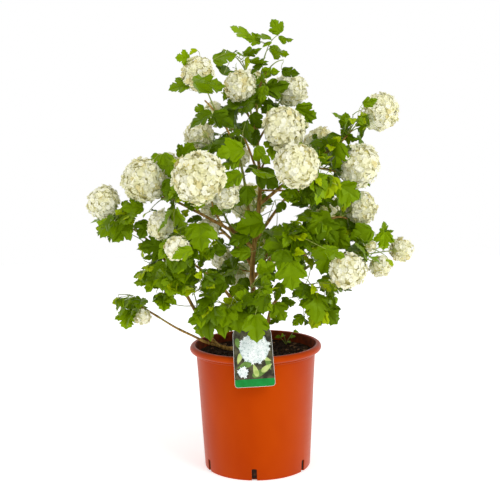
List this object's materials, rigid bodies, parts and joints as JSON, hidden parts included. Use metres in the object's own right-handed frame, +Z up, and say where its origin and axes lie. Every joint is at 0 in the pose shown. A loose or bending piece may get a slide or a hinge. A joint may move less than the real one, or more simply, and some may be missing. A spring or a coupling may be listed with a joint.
{
  "type": "potted snowball viburnum",
  "caption": "Young snowball viburnum bush in white-green flower balls and lobed leaves, in its terracotta-coloured plastic nursery pot with soil and a plant tag.",
  "frame": {"origin": "middle of the pot's flat underside", "axes": "+Z up the plant, -Y towards the front that carries the plant tag, +X to the viewer's right"},
  "size_m": [0.5097, 0.3976, 0.7045],
  "materials": {
    "terracotta_plastic": "satin moulded polypropylene",
    "potting_soil": "rough, crumbly",
    "tag_card": "printed, glossy",
    "bark": "matt, finely ridged",
    "foliage": "soft sheen",
    "blossom": "matt petals"
  },
  "bodies": {
    "root": {"bough_back_high": "bark", "bough_back_left": "bark", "bough_back_low": "bark", "bough_back_right": "bark", "bough_front": "bark", "bough_left_foot": "bark", "bough_left_high": "bark", "bough_left_low": "bark", "bough_left_middle": "bark", "bough_left_trailing": "bark", "bough_right_foot": "bark", "bough_right_high": "bark", "bough_right_middle": "bark", "foliage_back_centre": "foliage", "foliage_back_high": "foliage", "foliage_back_left": "foliage", "foliage_back_left_high": "foliage", "foliage_back_low": "foliage", "foliage_back_low_left": "foliage", "foliage_back_right": "foliage", "foliage_back_right_high": "foliage", "foliage_back_top": "foliage", "foliage_centre_front": "foliage", "foliage_centre_high": "foliage", "foliage_centre_right": "foliage", "foliage_front": "foliage", "foliage_front_left": "foliage", "foliage_left_crest": "foliage", "foliage_left_front": "foliage", "foliage_left_high": "foliage", "foliage_left_inner": "foliage", "foliage_left_lower": "foliage", "foliage_left_middle": "foliage", "foliage_left_outer": "foliage", "foliage_left_skirt": "foliage", "foliage_left_trailing": "foliage", "foliage_left_upper": "foliage", "foliage_right_back_low": "foliage", "foliage_right_crest": "foliage", "foliage_right_middle": "foliage", "foliage_right_outer": "foliage", "foliage_right_skirt": "foliage", "foliage_right_upper": "foliage", "foliage_top_left": "foliage", "foliage_top_right": "foliage", "foliage_upper_middle": "foliage", "foliage_upper_right": "foliage", "plant_tag": "tag_card", "pot": "terracotta_plastic", "potting_soil": "potting_soil", "trunk": "bark"}
  },
  "joints": []
}
